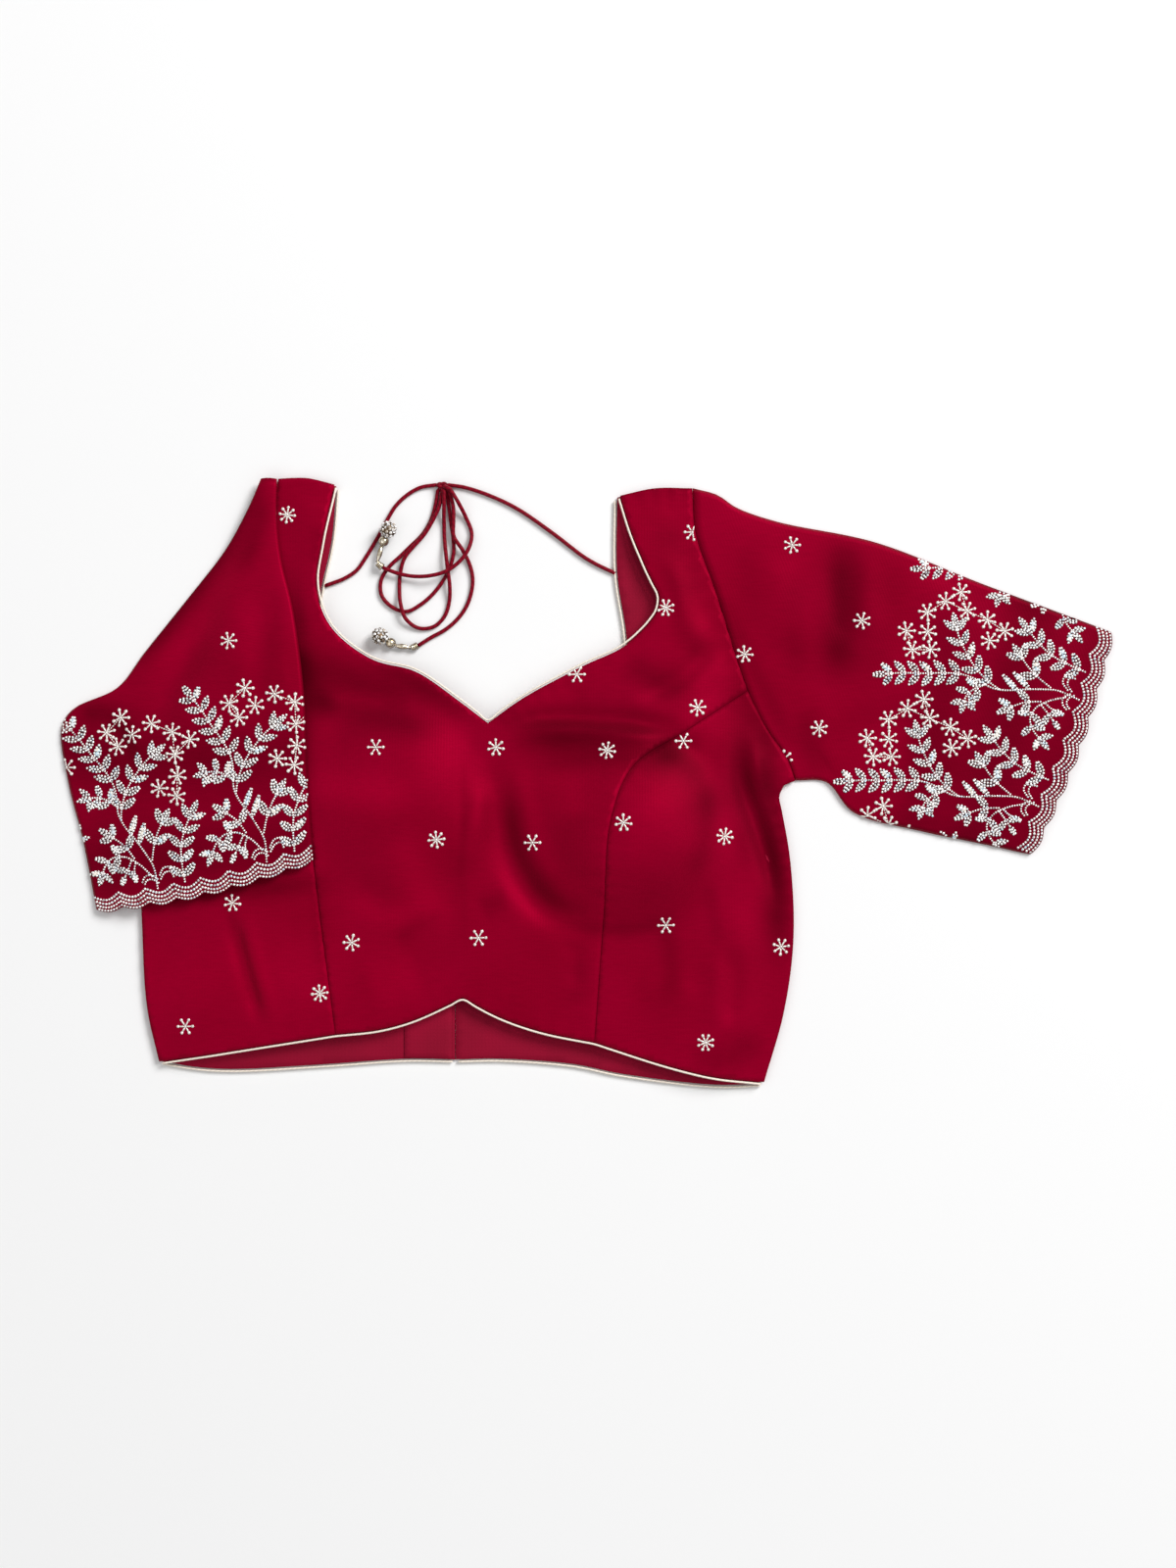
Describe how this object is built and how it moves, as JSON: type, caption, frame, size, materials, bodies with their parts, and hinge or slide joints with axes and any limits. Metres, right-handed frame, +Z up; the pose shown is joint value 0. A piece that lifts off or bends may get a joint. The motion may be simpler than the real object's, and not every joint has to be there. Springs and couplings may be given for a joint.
{
  "type": "saree blouse laid flat",
  "caption": "Crimson silk saree blouse with bead embroidered sleeves, cream piping and a tied back cord, laid flat.",
  "frame": {"origin": "centre of the bounding box's underside, on the surface that the blouse lies on", "axes": "+X across the chest towards the sleeve that lies out, +Y from hem to shoulders, +Z up out of the surface"},
  "size_m": [0.6639, 0.3867, 0.0302],
  "materials": {
    "silk": "satin",
    "lining": "matte",
    "piping": "satin",
    "cord": "satin",
    "gold": "polished",
    "crystal": "polished"
  },
  "bodies": {
    "root": {"front_centre": "silk", "front_side_left": "silk", "front_side_right": "silk", "back_left": "silk", "back_right": "silk", "back_lining_left": "lining", "back_lining_right": "lining", "back_placket": "lining", "sleeve_left": "silk", "sleeve_right": "silk", "neck_piping_front": "piping", "neck_piping_back_left": "piping", "neck_piping_back_right": "piping", "hem_piping_front": "piping", "hem_piping_back_left": "piping", "hem_piping_back_right": "piping", "tie_lead_left": "cord", "tie_lead_right": "cord", "tie_loop_left": "cord", "tie_loop_right": "cord", "tie_end_left": "cord", "tie_end_right": "cord", "tie_knot": "cord", "tassel_left_cap": "gold", "tassel_left_spindle": "gold", "tassel_left_bead": "gold", "tassel_left_crystal": "crystal", "tassel_right_cap": "gold", "tassel_right_spindle": "gold", "tassel_right_bead": "gold", "tassel_right_crystal": "crystal"}
  },
  "joints": []
}
